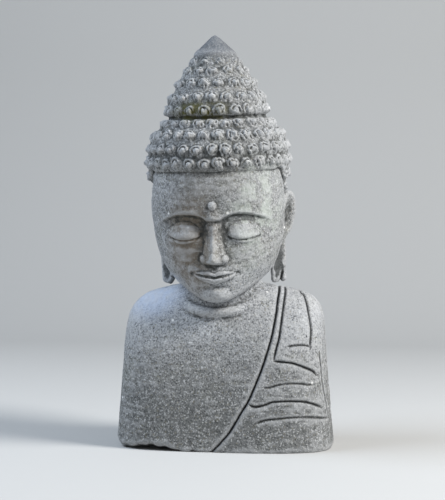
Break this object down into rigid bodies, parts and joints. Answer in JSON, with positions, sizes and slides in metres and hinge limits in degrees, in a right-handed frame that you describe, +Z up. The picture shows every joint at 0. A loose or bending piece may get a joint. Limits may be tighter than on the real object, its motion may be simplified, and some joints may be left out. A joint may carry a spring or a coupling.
{
  "type": "buddha bust",
  "caption": "Carved grey stone bust of a Buddha: curled hair with a pointed topknot, long ears, lowered eyes and a robe over the left shoulder, cut off flat below the chest.",
  "frame": {"origin": "middle of the flat underside that the bust stands on", "axes": "+Z up, -Y towards the front of the bust, +X towards the statue's left, where the robe hangs over the shoulder"},
  "size_m": [0.3162, 0.2422, 0.6002],
  "materials": {
    "stone": "matte"
  },
  "bodies": {
    "root": {"buddha_bust": "stone"}
  },
  "joints": []
}
